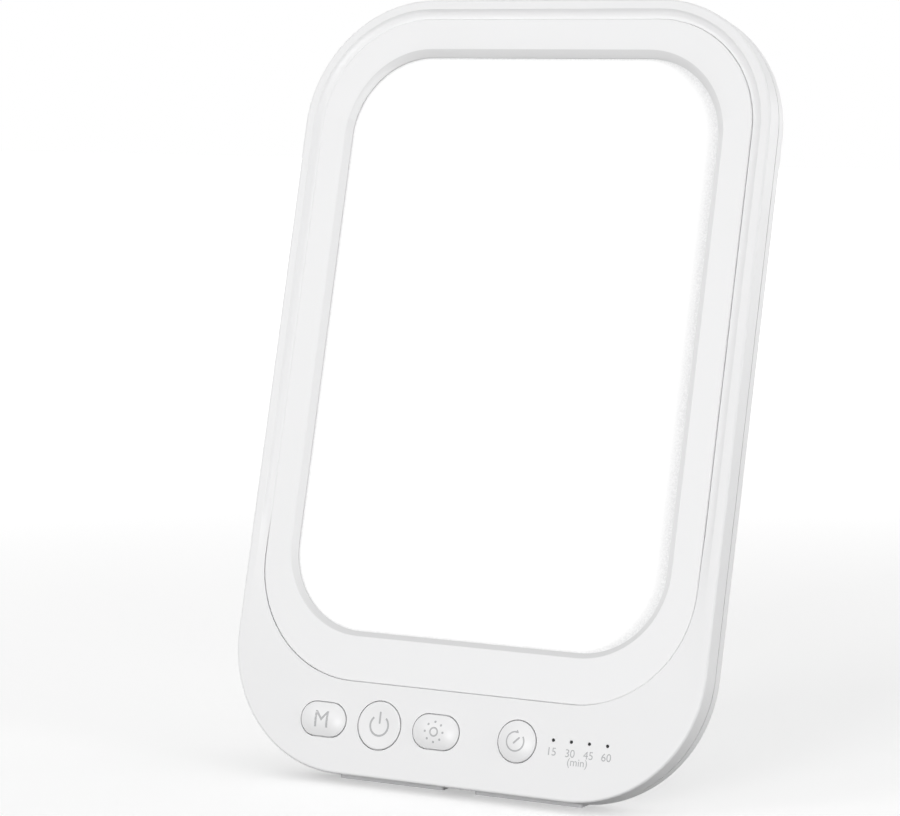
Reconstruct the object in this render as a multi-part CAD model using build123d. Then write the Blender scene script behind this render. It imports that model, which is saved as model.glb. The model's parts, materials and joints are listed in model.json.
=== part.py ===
from build123d import *
from math import cos, radians, sin, tan
import os

# Free-standing light therapy lamp: a flat edge-lit panel in a two-part housing, with four push
# buttons under the window and a leg that swings out of the back.
#
# Lengths are millimetres. Each piece is drawn upright in the panel's own frame: X to the right,
# Y is the depth behind the front plane, Z is the height above the panel's bottom edge. stand_up()
# then leans the panel back, so that its rubber pads and the leg's pad rest on z = 0.
# Origin: the middle of the footprint, on the table. The front faces -Y.

# ---- Housing ----
WIDTH = 150.0
HEIGHT = 228.0
THICKNESS = 13.0
CORNER_R = 38.0             # seen from the front
WALL = 1.8
FRONT_EDGE_R = 0.8
REAR_EDGE_R = 4.3
PARTING_DEPTH = 6.2         # where the front shell's side wall ends
PARTING_GAP = 0.3           # shadow line between the shells
LIP_WALL = 0.8              # rear shell's lip, inside the front shell's wall
LIP_HEIGHT = 1.2
LIP_GAP = 0.1
LEAN = 15.0                 # degrees back from upright

# ---- Rim and groove round the window ----
RIM_WIDTH = 2.8
GROOVE_WIDTH = 2.5
GROOVE_DEPTH = 1.0          # at the foot of the frame
GROOVE_LAND = 0.3           # flat floor between the groove's curve and the frame's seat
GROOVE_FULL_Z = 78.0        # the groove has its full depth above this height
GROOVE_END_Z = 33.0         # and has run out into the control face here
GROOVE_END_WIDTH = 14.0
GROOVE_END_DEPTH = 0.02
CUTTER_HEIGHT = 3.0         # how far a cutting body stands out of the surface it cuts

# ---- Window frame ----
FRAME_GAP = 0.12
FRAME_BOTTOM_Z = 26.9
FRAME_BOTTOM_R = 34.0
FRAME_FACE_DEPTH = 0.3
FRAME_EDGE_R = 0.5
SEAT_DEPTH = 1.9            # back of the frame, front of the diffuser
LEDGE_THICK = 1.5
LEDGE_WALL = 1.6            # ledge material outside the frame's seat
FRAME_SIDE = 10.15          # frame's width from its outer edge to the window
FRAME_TOP = 11.35
FRAME_BOTTOM = 14.4
WINDOW_R = 24.0
BEVEL_SIDE = 1.95
BEVEL_TOP = 2.5
BEVEL_BOTTOM = 1.6
BEVEL_DEPTH = 1.2
PEG_R = 0.9
PEG_LENGTH = 1.3
PEG_CLEARANCE = 0.1
PEG_SIDE_INSET = 3.25       # pegs from the frame's outer edge
PEG_TOP_INSET = 2.45
PEG_BOTTOM_INSET = 4.1
PEG_LOW_Z = 100.0
PEG_HIGH_DROP = 78.0        # below the housing's top
PEG_END_X = 20.0

# ---- Light stack ----
GUIDE_MARGIN = 1.8          # light guide beyond the window, at the sides
GUIDE_THICK = 3.0
DIFFUSER_THICK = 1.2
DIFFUSER_MARGIN = 0.5       # diffuser beyond the light guide
DIFFUSER_CORNER_R = 8.0
STACK_CLEARANCE = 0.4
REFLECTOR_THICK = 0.25
PLATE_THICK = 1.0
PLATE_INSET = 0.5           # plate's side edges, inside the light guide's
PLATE_MARGIN = 6.5          # plate beyond the window, at the top and bottom
PLATE_CORNER_R = 8.0
FLANGE_INSET = 10.0         # ends of the bent flanges, from the plate's side edges
FLANGE_CLEARANCE = 0.2      # below the ledge
LED_BOARD_THICK = 1.0
LED_BOARD_TAIL = 3.0        # reaches past the flange, where its wires are soldered
LED_BOARD_DEPTH = 2.5       # board's width, along the depth
LED_PITCH = 4.9
LED_SIZE = (3.0, 2.2, 0.7)  # along X, along the depth, off the board
LED_GAP = 0.3               # LED face to the light guide's edge

# ---- Shell screws and their bosses ----
LOW_SCREW_INSET = 16.0      # from the housing's side
LOW_SCREW_Z = 24.0
SIDE_SCREW_INSET = 7.7
SIDE_SCREW_Z = 82.0
SIDE_SCREW_DROP = 72.0      # upper side screws, below the housing's top
TOP_SCREW_X = 30.0
TOP_SCREW_DROP = 7.2
BOSS_R = 2.4
BOSS_END_DEPTH = 8.0
WELL_R = 2.9
WELL_WALL = 1.1
WELL_FLOOR_DEPTH = 9.6
SCREW_R = 0.95
SCREW_CLEARANCE = 0.05
SCREW_HOLE_CLEARANCE = 0.25
SCREW_LENGTH = 6.0
HEAD_R = 2.2
HEAD_HEIGHT = 1.3
DRIVE_SPAN = 2.3            # cross recess in a screw's head
DRIVE_WIDTH = 0.5
DRIVE_DEPTH = 0.7
POST_R = 2.5                # rear shell's posts that press on the heat plate
POST_INSET = 14.0           # from the plate's side edges
POST_LOW_INSET = 25.0
POST_HIGH_INSET = 22.0
POST_OVER_LEG = 32.4        # the single post, above the folded leg's tip

# ---- Buttons and switches ----
ROW_Z = 15.05
OVAL_SIZE = (15.0, 10.0)
POWER_SIZE = (14.0, 14.0)
TIMER_SIZE = (12.0, 12.0)
DOME_HEIGHT = 1.2           # middle of a domed cap, above its edge
DISH_DEPTH = 0.25           # middle of the dished cap, below its edge
# x, outline and rise of each cap
BUTTONS = {
    "mode": (-42.4, OVAL_SIZE, DOME_HEIGHT),
    "power": (-23.95, POWER_SIZE, -DISH_DEPTH),
    "brightness": (-5.5, OVAL_SIZE, DOME_HEIGHT),
    "timer": (20.3, TIMER_SIZE, DOME_HEIGHT),
}
BUTTON_GAP = 0.3            # between a cap and its hole
BUTTON_PROUD = 0.25
BUTTON_EDGE_R = 0.3
BUTTON_TRAVEL = 0.6
DISH_MARGIN = 0.8           # flat border round the dished face
FLANGE_MARGIN = 0.8
FLANGE_THICK = 0.8
FLANGE_GAP = 0.05
STEM_R = 1.6
SWITCH_SIDE = 4.6
SWITCH_HEIGHT = 1.6
PLUNGER_R = 1.0
PLUNGER_LENGTH = 1.3
PLUNGER_CLEARANCE = 0.15
PLUNGER_PROUD = 0.7

# ---- Timer lights ----
LIGHT_X = 31.45
LIGHT_PITCH = 5.55
LIGHT_COUNT = 4
LIGHT_Z = 16.62
LIGHT_R = 0.45
LIGHT_CLEARANCE = 0.05
COMB_WIDTH = 2.0
COMB_THICK = 0.8
COMB_STUB_R = 0.9
LIGHT_LED_SIZE = (1.6, 0.8, 0.7)
LIGHT_LED_GAP = 0.1

# ---- Control board ----
BOARD_DEPTH = 5.6
BOARD_THICK = 1.2
BOARD_MARGIN = 4.9          # beyond the last timer light
BOARD_BOTTOM_Z = 6.0
BOARD_TOP_Z = 32.0
BOARD_LOW_R = 14.0
BOARD_TOP_R = 5.0
BOARD_SCREW_INSET = 4.0     # upper screws, from the board's edges
LOW_BOARD_SCREW = (8.1, 9.0)
SMALL_BOSS_R = 2.0
SMALL_SCREW_R = 0.7
SMALL_SCREW_LENGTH = 3.0
SMALL_HEAD_R = 1.5
SMALL_HEAD_HEIGHT = 0.9
BOARD_BOSS_GAP = 0.4        # board round the shell screws' bosses
# x, z, width, height and depth of each part on the board's back
CHIPS = [
    (-30.0, 18.0, 6.0, 6.0, 1.0),
    (-2.0, 20.0, 5.0, 4.0, 1.2),
    (16.0, 20.0, 7.0, 7.0, 2.6),
    (-12.0, 25.0, 3.2, 1.6, 0.9),
    (-14.0, 12.0, 2.0, 1.25, 0.8),
    (22.0, 11.0, 2.0, 1.25, 0.8),
    (37.0, 12.0, 3.2, 1.6, 0.9),
]
HEADER_SIZE = (6.0, 4.5, 3.0)
HEADER_INLET_INSET = 9.0    # connectors, from the board's side edges
HEADER_BOTTOM_INSET = 11.0
HEADER_TOP_INSET = 23.0
HEADER_Z = 22.0

# ---- Power inlet, in the left side wall ----
INLET_Z = 51.5
INLET_SIZE = (7.0, 3.2, 8.94)   # along X, depth, height
INLET_WALL = 0.3
INLET_GAP = 0.15
INLET_RECESS = 0.5
INLET_BACK = 1.2
TONGUE_SIZE = (5.0, 0.7, 6.7)
INLET_BOARD_GAP = 0.4       # board's edge to the housing's wall
INLET_BOARD_WIDTH = 10.3
INLET_BOARD_HALF = 8.5
INLET_BOARD_DEPTH = 5.8
INLET_SCREW_INSET = 6.6     # from the board's outer edge
INLET_SCREW_STEP = 6.4

# ---- Stand ----
LEG_WIDTH = 44.0
LEG_TIP_WIDTH = 34.0
LEG_THICK = 3.2
LEG_OPEN = 45.0             # degrees between the open leg and the panel's back
LEG_GAP = 0.4               # leg to the pocket's walls
LEG_FLOOR_GAP = 0.3
LEG_STOP_GAP = 0.05
LEG_SINK = 0.1              # folded leg below the back plane
LEG_CORNER_R = 8.0
LEG_EDGE_R = 0.5
PIVOT_Z = 66.0
PIN_R = 0.8
PIN_CLEARANCE = 0.05
PIN_SEAT_CLEARANCE = 0.02
PIN_HELD = 3.5              # pin's length in each side of the pocket
HINGE_CHEEK = 5.0
POCKET_FLOOR = 1.5
POCKET_WALL = 1.5
NOTCH_R = 9.0
LEG_PAD_LENGTH = 5.0
LEG_PAD_WIDTH = 26.0
LEG_PAD_PROUD = 0.6

# ---- Base pads and vents ----
PAD_X = 22.0
PAD_SIZE = (34.0, 5.0)
PAD_PROUD = 0.5
PAD_SUNK = 1.0
VENT_SIZE = (1.6, 13.0)
VENT_PITCH = 4.2
VENT_TOP_COUNT = 13
VENT_TOP_DROP = 32.0        # middle of the upper row, below the housing's top
VENT_LOW_COUNT = 9
VENT_LOW_Z = 42.0

# ---- Wires ----
WIRE_R = 0.5
WIRE_STEP = 0.75            # between the two wires of a pair, along each axis
WIRE_BEND_R = 3.0
WIRE_BEND_SHARE = 0.45      # largest bend, as a share of the shorter run beside it
WIRE_GAP = 0.05
WIRE_DROP = 8.0             # height at which the long pair leads outwards, below the guide's top
INLET_PAD_INSET = 1.1       # wires on the inlet board, from its inner edge
INLET_PAD_LENGTH = 4.0

# ---- Worked out from the sizes above ----
MID_Z = HEIGHT / 2
FRAME_INSET = RIM_WIDTH + GROOVE_WIDTH + GROOVE_LAND + FRAME_GAP
FRAME_HALF = WIDTH / 2 - FRAME_INSET
FRAME_TOP_Z = HEIGHT - FRAME_INSET
FRAME_TOP_R = CORNER_R - FRAME_INSET
WINDOW_HALF = FRAME_HALF - FRAME_SIDE
WINDOW_BOTTOM_Z = FRAME_BOTTOM_Z + FRAME_BOTTOM
WINDOW_TOP_Z = FRAME_TOP_Z - FRAME_TOP
PEG_SIDE_X = FRAME_HALF - PEG_SIDE_INSET
PEG_BOTTOM_Z = FRAME_BOTTOM_Z + PEG_BOTTOM_INSET
PEG_TOP_Z = FRAME_TOP_Z - PEG_TOP_INSET
LEDGE_DEPTH = SEAT_DEPTH + LEDGE_THICK
GUIDE_DEPTH = SEAT_DEPTH + DIFFUSER_THICK
REFLECTOR_DEPTH = GUIDE_DEPTH + GUIDE_THICK
PLATE_DEPTH = REFLECTOR_DEPTH + REFLECTOR_THICK
PLATE_BACK = PLATE_DEPTH + PLATE_THICK
FLANGE_DEPTH = LEDGE_DEPTH + FLANGE_CLEARANCE
GUIDE_HALF = WINDOW_HALF + GUIDE_MARGIN
PLATE_HALF = GUIDE_HALF - PLATE_INSET
PLATE_BOTTOM_Z = WINDOW_BOTTOM_Z - PLATE_MARGIN
PLATE_TOP_Z = WINDOW_TOP_Z + PLATE_MARGIN
FLANGE_HALF = PLATE_HALF - FLANGE_INSET
LED_BOARD_HALF = FLANGE_HALF + LED_BOARD_TAIL
LED_COUNT = int(2 * FLANGE_HALF / LED_PITCH)
LED_LAYERS = PLATE_THICK + LED_BOARD_THICK + LED_SIZE[2] + LED_GAP
GUIDE_BOTTOM_Z = PLATE_BOTTOM_Z + LED_LAYERS
GUIDE_TOP_Z = PLATE_TOP_Z - LED_LAYERS
REAR_INSIDE = THICKNESS - WALL
BOARD_HALF = LIGHT_X + (LIGHT_COUNT - 1) * LIGHT_PITCH + BOARD_MARGIN
BOARD_SCREW_X = BOARD_HALF - BOARD_SCREW_INSET
BOARD_SCREW_Z = BOARD_TOP_Z - BOARD_SCREW_INSET
BOARD_SCREWS = [(-BOARD_SCREW_X, BOARD_SCREW_Z), (BOARD_SCREW_X, BOARD_SCREW_Z), LOW_BOARD_SCREW]
HEADER_INLET_X = HEADER_INLET_INSET - BOARD_HALF
HEADER_BOTTOM_X = BOARD_HALF - HEADER_BOTTOM_INSET
HEADER_TOP_X = BOARD_HALF - HEADER_TOP_INSET
BOARD_BACK = BOARD_DEPTH + BOARD_THICK
SWITCH_DEPTH = BOARD_DEPTH - SWITCH_HEIGHT
PLUNGER_DEPTH = SWITCH_DEPTH - PLUNGER_PROUD
FLANGE_FRONT = WALL + FLANGE_GAP
FLANGE_BACK = FLANGE_FRONT + FLANGE_THICK
INLET_DEPTH = INLET_BOARD_DEPTH + BOARD_THICK
INLET_BOARD_OUTER = WALL + INLET_BOARD_GAP - WIDTH / 2
INLET_BOARD_INNER = INLET_BOARD_OUTER + INLET_BOARD_WIDTH
INLET_SCREW_X = INLET_BOARD_OUTER + INLET_SCREW_INSET
PIVOT_DEPTH = THICKNESS - LEG_SINK - LEG_THICK / 2
POCKET_DEPTH = PIVOT_DEPTH - LEG_THICK / 2 - LEG_FLOOR_GAP
POCKET_HALF = LEG_WIDTH / 2 + LEG_GAP
POCKET_BOTTOM_Z = PIVOT_Z - LEG_THICK / 2 - LEG_FLOOR_GAP
LEAN_COS = cos(radians(LEAN))
LEAN_SIN = sin(radians(LEAN))
ARC_DROP = REAR_EDGE_R * (1 - LEAN_COS) + (THICKNESS - REAR_EDGE_R) * LEAN_SIN
LIFT = ARC_DROP + PAD_PROUD
PIVOT_HEIGHT = PIVOT_Z * LEAN_COS - PIVOT_DEPTH * LEAN_SIN + LIFT
LEG_REACH = PIVOT_HEIGHT / cos(radians(LEG_OPEN - LEAN))     # pivot to table, along the open leg
LEG_TIP_Z = PIVOT_Z + LEG_REACH
LEG_TIP_SLANT = LEG_THICK / 2 * tan(radians(LEG_OPEN - LEAN))     # sole's rear edge, past the leg's axis
LOW_SCREW_X = WIDTH / 2 - LOW_SCREW_INSET
SIDE_SCREW_X = WIDTH / 2 - SIDE_SCREW_INSET
SCREW_SPOTS = [
    (-LOW_SCREW_X, LOW_SCREW_Z), (LOW_SCREW_X, LOW_SCREW_Z),
    (-SIDE_SCREW_X, SIDE_SCREW_Z), (SIDE_SCREW_X, SIDE_SCREW_Z),
    (-SIDE_SCREW_X, HEIGHT - SIDE_SCREW_DROP), (SIDE_SCREW_X, HEIGHT - SIDE_SCREW_DROP),
    (-TOP_SCREW_X, HEIGHT - TOP_SCREW_DROP), (TOP_SCREW_X, HEIGHT - TOP_SCREW_DROP),
]
POST_X = PLATE_HALF - POST_INSET
POST_LOW_Z = PLATE_BOTTOM_Z + POST_LOW_INSET
POST_HIGH_Z = PLATE_TOP_Z - POST_HIGH_INSET
POST_ROWS = (POST_LOW_Z, (POST_LOW_Z + POST_HIGH_Z) / 2, POST_HIGH_Z)
POST_SPOTS = [(x, z) for z in POST_ROWS for x in (-POST_X, POST_X)] + [(0, LEG_TIP_Z + POST_OVER_LEG)]
FRONT_Y = FRONT_EDGE_R * (LEAN_COS + LEAN_SIN - 1)
BACK_Y = (THICKNESS - REAR_EDGE_R) * LEAN_COS + (HEIGHT - REAR_EDGE_R) * LEAN_SIN + REAR_EDGE_R
MIDDLE_Y = (FRONT_Y + BACK_Y) / 2
PAD_Y = (THICKNESS - REAR_EDGE_R) * LEAN_COS + REAR_EDGE_R * LEAN_SIN - MIDDLE_Y

parts = {}


def slab(sketch, near, far):
    """Solid between two depths, from a sketch of the panel seen from the front."""
    plane = Plane(origin=(0, far, 0), x_dir=(1, 0, 0), z_dir=(0, -1, 0))
    return extrude(plane * sketch, far - near)


def rod(x, z, radius, near, far):
    """Round bar along the depth."""
    return slab(Pos(x, z) * Circle(radius), near, far)


def block(x_range, depth_range, z_range):
    size = [high - low for low, high in (x_range, depth_range, z_range)]
    middle = [(high + low) / 2 for low, high in (x_range, depth_range, z_range)]
    return Pos(*middle) * Box(*size)


def housing_outline(inset=0.0):
    return Pos(0, MID_Z) * RectangleRounded(WIDTH - 2 * inset, HEIGHT - 2 * inset, CORNER_R - inset)


def tall_outline(half, bottom, top, bottom_r, top_r):
    """Rounded rectangle with its own radii at the bottom and top corners."""
    face = Pos(0, (bottom + top) / 2) * Rectangle(2 * half, top - bottom)
    face = fillet(face.vertices().group_by(Axis.Y)[0], bottom_r)
    return fillet(face.vertices().group_by(Axis.Y)[-1], top_r)


def frame_outline(grow=0.0):
    return tall_outline(FRAME_HALF + grow, FRAME_BOTTOM_Z - grow, FRAME_TOP_Z + grow,
                        FRAME_BOTTOM_R + grow, FRAME_TOP_R + grow)


def stack_outline(grow=0.0):
    """Outline of the diffuser, grown for the opening that it sits in."""
    half = GUIDE_HALF + DIFFUSER_MARGIN + grow
    bottom = GUIDE_BOTTOM_Z - DIFFUSER_MARGIN - grow
    top = GUIDE_TOP_Z + DIFFUSER_MARGIN + grow
    return tall_outline(half, bottom, top, DIFFUSER_CORNER_R + grow, DIFFUSER_CORNER_R + grow)


def capsule(size, grow=0.0):
    """Oval or round outline of a button."""
    width, height = size[0] + 2 * grow, size[1] + 2 * grow
    if size[0] == size[1]:
        return Circle(width / 2)
    return SlotOverall(width, height)


def pegs(radius, near, far):
    spots = [(x, z) for x in (-PEG_SIDE_X, PEG_SIDE_X) for z in (PEG_LOW_Z, HEIGHT - PEG_HIGH_DROP)]
    spots += [(x, z) for x in (-PEG_END_X, PEG_END_X) for z in (PEG_BOTTOM_Z, PEG_TOP_Z)]
    return [rod(x, z, radius, near, far) for x, z in spots]


def groove_section(z, outer_x, inner_x, depth):
    """Cross-section of the groove's cutter: a cove that falls from the rim to a flat strip."""
    land_x = inner_x + GROOVE_LAND + FRAME_GAP
    cove = TangentArc((inner_x, depth), (outer_x, 0), tangent=(-1, 0))
    box = Polyline((outer_x, 0), (outer_x, -CUTTER_HEIGHT), (land_x, -CUTTER_HEIGHT), (land_x, depth),
                   (inner_x, depth))
    return Plane(origin=(0, 0, z), x_dir=(1, 0, 0), z_dir=(0, 0, 1)) * make_face([cove, box])


def groove_cutters():
    outer_x = RIM_WIDTH - WIDTH / 2
    inner_x = outer_x + GROOVE_WIDTH
    middle_x = (outer_x + inner_x) / 2
    top_z = HEIGHT - RIM_WIDTH - GROOVE_WIDTH / 2
    path = FilletPolyline((middle_x, 0, GROOVE_FULL_Z), (middle_x, 0, top_z), (-middle_x, 0, top_z),
                          (-middle_x, 0, GROOVE_FULL_Z), radius=CORNER_R - RIM_WIDTH - GROOVE_WIDTH / 2)
    full = groove_section(GROOVE_FULL_Z, outer_x, inner_x, GROOVE_DEPTH)
    faded = groove_section(GROOVE_END_Z, outer_x, outer_x + GROOVE_END_WIDTH, GROOVE_END_DEPTH)
    ramp = loft([faded, full])
    return [sweep(full, path=path), ramp, mirror(ramp, Plane.YZ)]


def front_shell():
    shell = slab(housing_outline(), 0, PARTING_DEPTH)
    shell = fillet(shell.edges().group_by(Axis.Y)[0], FRONT_EDGE_R)
    shell -= slab(housing_outline(WALL), WALL, PARTING_DEPTH)
    lip_depth = PARTING_DEPTH + PARTING_GAP - LIP_HEIGHT - LIP_GAP
    shell -= slab(housing_outline(WALL - LIP_WALL - LIP_GAP), lip_depth, PARTING_DEPTH)
    shell += slab(frame_outline(FRAME_GAP + LEDGE_WALL), WALL, LEDGE_DEPTH)
    for x, z in SCREW_SPOTS:
        shell += rod(x, z, BOSS_R, WALL, BOSS_END_DEPTH)
    for x, z in BOARD_SCREWS:
        shell += rod(x, z, SMALL_BOSS_R, WALL, BOARD_DEPTH)
    for step in (-INLET_SCREW_STEP, INLET_SCREW_STEP):
        shell += rod(INLET_SCREW_X, INLET_Z + step, SMALL_BOSS_R, WALL, INLET_BOARD_DEPTH)
    shell -= slab(frame_outline(FRAME_GAP), -CUTTER_HEIGHT, SEAT_DEPTH)
    shell -= slab(stack_outline(STACK_CLEARANCE), SEAT_DEPTH, LEDGE_DEPTH)
    for cutter in groove_cutters() + pegs(PEG_R + PEG_CLEARANCE, SEAT_DEPTH, LEDGE_DEPTH):
        shell -= cutter
    hole_end = WELL_FLOOR_DEPTH - SCREW_LENGTH - SCREW_CLEARANCE
    for x, z in SCREW_SPOTS:
        shell -= rod(x, z, SCREW_R + SCREW_CLEARANCE, hole_end, BOSS_END_DEPTH)
    small_r = SMALL_SCREW_R + SCREW_CLEARANCE
    small_length = SMALL_SCREW_LENGTH + SCREW_CLEARANCE
    for x, z in BOARD_SCREWS:
        shell -= rod(x, z, small_r, BOARD_BACK - small_length, BOARD_DEPTH)
    for step in (-INLET_SCREW_STEP, INLET_SCREW_STEP):
        shell -= rod(INLET_SCREW_X, INLET_Z + step, small_r, INLET_DEPTH - small_length, INLET_BOARD_DEPTH)
    for x, size, _ in BUTTONS.values():
        shell -= slab(Pos(x, ROW_Z) * capsule(size, BUTTON_GAP / 2), -CUTTER_HEIGHT, WALL)
    for i in range(LIGHT_COUNT):
        shell -= rod(LIGHT_X + i * LIGHT_PITCH, LIGHT_Z, LIGHT_R + LIGHT_CLEARANCE, -CUTTER_HEIGHT, WALL)
    return shell


def window_frame():
    frame = slab(frame_outline(), FRAME_FACE_DEPTH, SEAT_DEPTH)
    frame = fillet(frame.edges().group_by(Axis.Y)[0], FRAME_EDGE_R)
    inner = tall_outline(WINDOW_HALF, WINDOW_BOTTOM_Z, WINDOW_TOP_Z, WINDOW_R, WINDOW_R)
    outer_r = WINDOW_R + BEVEL_SIDE
    outer = tall_outline(WINDOW_HALF + BEVEL_SIDE, WINDOW_BOTTOM_Z - BEVEL_BOTTOM, WINDOW_TOP_Z + BEVEL_TOP,
                         outer_r, outer_r)
    near = Plane(origin=(0, FRAME_FACE_DEPTH, 0), x_dir=(1, 0, 0), z_dir=(0, -1, 0))
    deep = Plane(origin=(0, FRAME_FACE_DEPTH + BEVEL_DEPTH, 0), x_dir=(1, 0, 0), z_dir=(0, -1, 0))
    frame -= loft([deep * inner, near * outer], ruled=True)
    frame -= slab(inner, FRAME_FACE_DEPTH, SEAT_DEPTH)
    for peg in pegs(PEG_R, SEAT_DEPTH, SEAT_DEPTH + PEG_LENGTH):
        frame += peg
    return frame


def light_stack():
    parts["diffuser"] = slab(stack_outline(), SEAT_DEPTH, GUIDE_DEPTH)
    sheet = stack_outline(-DIFFUSER_MARGIN)
    parts["light_guide"] = slab(sheet, GUIDE_DEPTH, REFLECTOR_DEPTH)
    parts["reflector_sheet"] = slab(sheet, REFLECTOR_DEPTH, PLATE_DEPTH)
    plate_face = tall_outline(PLATE_HALF, PLATE_BOTTOM_Z, PLATE_TOP_Z, PLATE_CORNER_R, PLATE_CORNER_R)
    plate = slab(plate_face, PLATE_DEPTH, PLATE_BACK)
    ends = {"bottom": (PLATE_BOTTOM_Z, 1), "top": (PLATE_TOP_Z, -1)}
    for name, (edge_z, way) in ends.items():
        flange_z = edge_z + way * PLATE_THICK
        board_z = flange_z + way * LED_BOARD_THICK
        led_z = board_z + way * LED_SIZE[2]
        plate += block((-FLANGE_HALF, FLANGE_HALF), (FLANGE_DEPTH, PLATE_BACK), sorted((edge_z, flange_z)))
        board_end = FLANGE_DEPTH + LED_BOARD_DEPTH
        parts[f"led_board_{name}"] = block((-LED_BOARD_HALF, LED_BOARD_HALF), (FLANGE_DEPTH, board_end),
                                           sorted((flange_z, board_z)))
        led_middle = FLANGE_DEPTH + LED_BOARD_DEPTH / 2
        led_depths = (led_middle - LED_SIZE[1] / 2, led_middle + LED_SIZE[1] / 2)
        led_heights = sorted((board_z, led_z))
        middles = [(i - (LED_COUNT - 1) / 2) * LED_PITCH for i in range(LED_COUNT)]
        parts[f"leds_{name}"] = Compound(children=[
            block((x - LED_SIZE[0] / 2, x + LED_SIZE[0] / 2), led_depths, led_heights) for x in middles])
    parts["heat_plate"] = plate


def screw(x, z, seat, radius, length, head_r, head_height):
    """Pan-head screw driven from behind, its head on a seat at a given depth."""
    head = fillet(rod(x, z, head_r, seat, seat + head_height).edges().group_by(Axis.Y)[-1], head_height / 2)
    body = head + rod(x, z, radius, seat - length, seat)
    top = seat + head_height
    scale_by = head_r / HEAD_R
    for span, width in ((DRIVE_SPAN, DRIVE_WIDTH), (DRIVE_WIDTH, DRIVE_SPAN)):
        arm = Pos(x, z) * Rectangle(span * scale_by, width * scale_by)
        body -= slab(arm, top - DRIVE_DEPTH * scale_by, top)
    return body


def cap_section(half, rise):
    """Half section of a cap, from its middle outwards: radius along X, depth along Y."""
    edge = -BUTTON_PROUD
    corner = (half, edge)
    crown_end = corner if rise > 0 else (half - DISH_MARGIN, edge)
    crown = TangentArc((0, edge - rise), crown_end, tangent=(1, 0))
    border = [] if rise > 0 else [crown_end]
    walls = Polyline(*border, corner, (half, FLANGE_FRONT), (0, FLANGE_FRONT), (0, edge - rise))
    face = make_face([crown, walls])
    return fillet(face.vertices().sort_by_distance(corner)[0], BUTTON_EDGE_R)


def button(x, size, rise):
    """Cap with its retaining flange and stem. Its face is domed, or dished where the rise is negative."""
    section = cap_section(size[1] / 2 - BUTTON_GAP / 2, rise)
    reach = (size[0] - size[1]) / 2
    cap = Pos(-reach) * revolve(section, axis=Axis.Y)
    if reach > 0:
        across = Rot(Y=-90) * (section + mirror(section, Plane.YZ))
        cap += extrude(across, reach, both=True)
        cap += Pos(reach) * revolve(section, axis=Axis.Y)
    cap = Pos(x, 0, ROW_Z) * cap
    cap += slab(Pos(x, ROW_Z) * capsule(size, FLANGE_MARGIN), FLANGE_FRONT, FLANGE_BACK)
    return cap + rod(x, ROW_Z, STEM_R, FLANGE_BACK, PLUNGER_DEPTH)


def control_pieces():
    for name, (x, size, rise) in BUTTONS.items():
        parts[f"button_{name}"] = button(x, size, rise)
        base = block((x - SWITCH_SIDE / 2, x + SWITCH_SIDE / 2), (SWITCH_DEPTH, BOARD_DEPTH),
                     (ROW_Z - SWITCH_SIDE / 2, ROW_Z + SWITCH_SIDE / 2))
        hole_end = PLUNGER_DEPTH + PLUNGER_LENGTH + BUTTON_TRAVEL + PLUNGER_CLEARANCE
        base -= rod(x, ROW_Z, PLUNGER_R + PLUNGER_CLEARANCE, SWITCH_DEPTH, hole_end)
        parts[f"switch_{name}"] = base
        parts[f"plunger_{name}"] = rod(x, ROW_Z, PLUNGER_R, PLUNGER_DEPTH, PLUNGER_DEPTH + PLUNGER_LENGTH)

    face = tall_outline(BOARD_HALF, BOARD_BOTTOM_Z, BOARD_TOP_Z, BOARD_LOW_R, BOARD_TOP_R)
    board = slab(face, BOARD_DEPTH, BOARD_BACK)
    for x, z in SCREW_SPOTS:
        board -= rod(x, z, BOSS_R + BOARD_BOSS_GAP, BOARD_DEPTH, BOARD_BACK)
    for x, z in BOARD_SCREWS:
        board -= rod(x, z, SMALL_SCREW_R + SCREW_CLEARANCE, BOARD_DEPTH, BOARD_BACK)
    parts["control_board"] = board
    parts["board_screws"] = Compound(children=[
        screw(x, z, BOARD_BACK, SMALL_SCREW_R, SMALL_SCREW_LENGTH, SMALL_HEAD_R, SMALL_HEAD_HEIGHT)
        for x, z in BOARD_SCREWS])
    chips = [block((x - w / 2, x + w / 2), (BOARD_BACK, BOARD_BACK + high), (z - h / 2, z + h / 2))
             for x, z, w, h, high in CHIPS]
    parts["board_chips"] = Compound(children=chips)
    headers = []
    for x in (HEADER_INLET_X, HEADER_TOP_X, HEADER_BOTTOM_X):
        headers.append(block((x - HEADER_SIZE[0] / 2, x + HEADER_SIZE[0] / 2),
                             (BOARD_BACK, BOARD_BACK + HEADER_SIZE[2]),
                             (HEADER_Z - HEADER_SIZE[1] / 2, HEADER_Z + HEADER_SIZE[1] / 2)))
    parts["wire_headers"] = Compound(children=headers)

    last_x = BOARD_HALF - BOARD_MARGIN
    comb = block((LIGHT_X - COMB_WIDTH / 2, last_x + COMB_WIDTH / 2), (WALL, WALL + COMB_THICK),
                 (LIGHT_Z - COMB_WIDTH / 2, LIGHT_Z + COMB_WIDTH / 2))
    led_front = BOARD_DEPTH - LIGHT_LED_SIZE[2]
    lamps = []
    for i in range(LIGHT_COUNT):
        x = LIGHT_X + i * LIGHT_PITCH
        comb += rod(x, LIGHT_Z, LIGHT_R, 0, WALL)
        comb += rod(x, LIGHT_Z, COMB_STUB_R, WALL + COMB_THICK, led_front - LIGHT_LED_GAP)
        lamps.append(block((x - LIGHT_LED_SIZE[0] / 2, x + LIGHT_LED_SIZE[0] / 2), (led_front, BOARD_DEPTH),
                           (LIGHT_Z - LIGHT_LED_SIZE[1] / 2, LIGHT_Z + LIGHT_LED_SIZE[1] / 2)))
    parts["light_pipes"] = comb
    parts["timer_leds"] = Compound(children=lamps)


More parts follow.
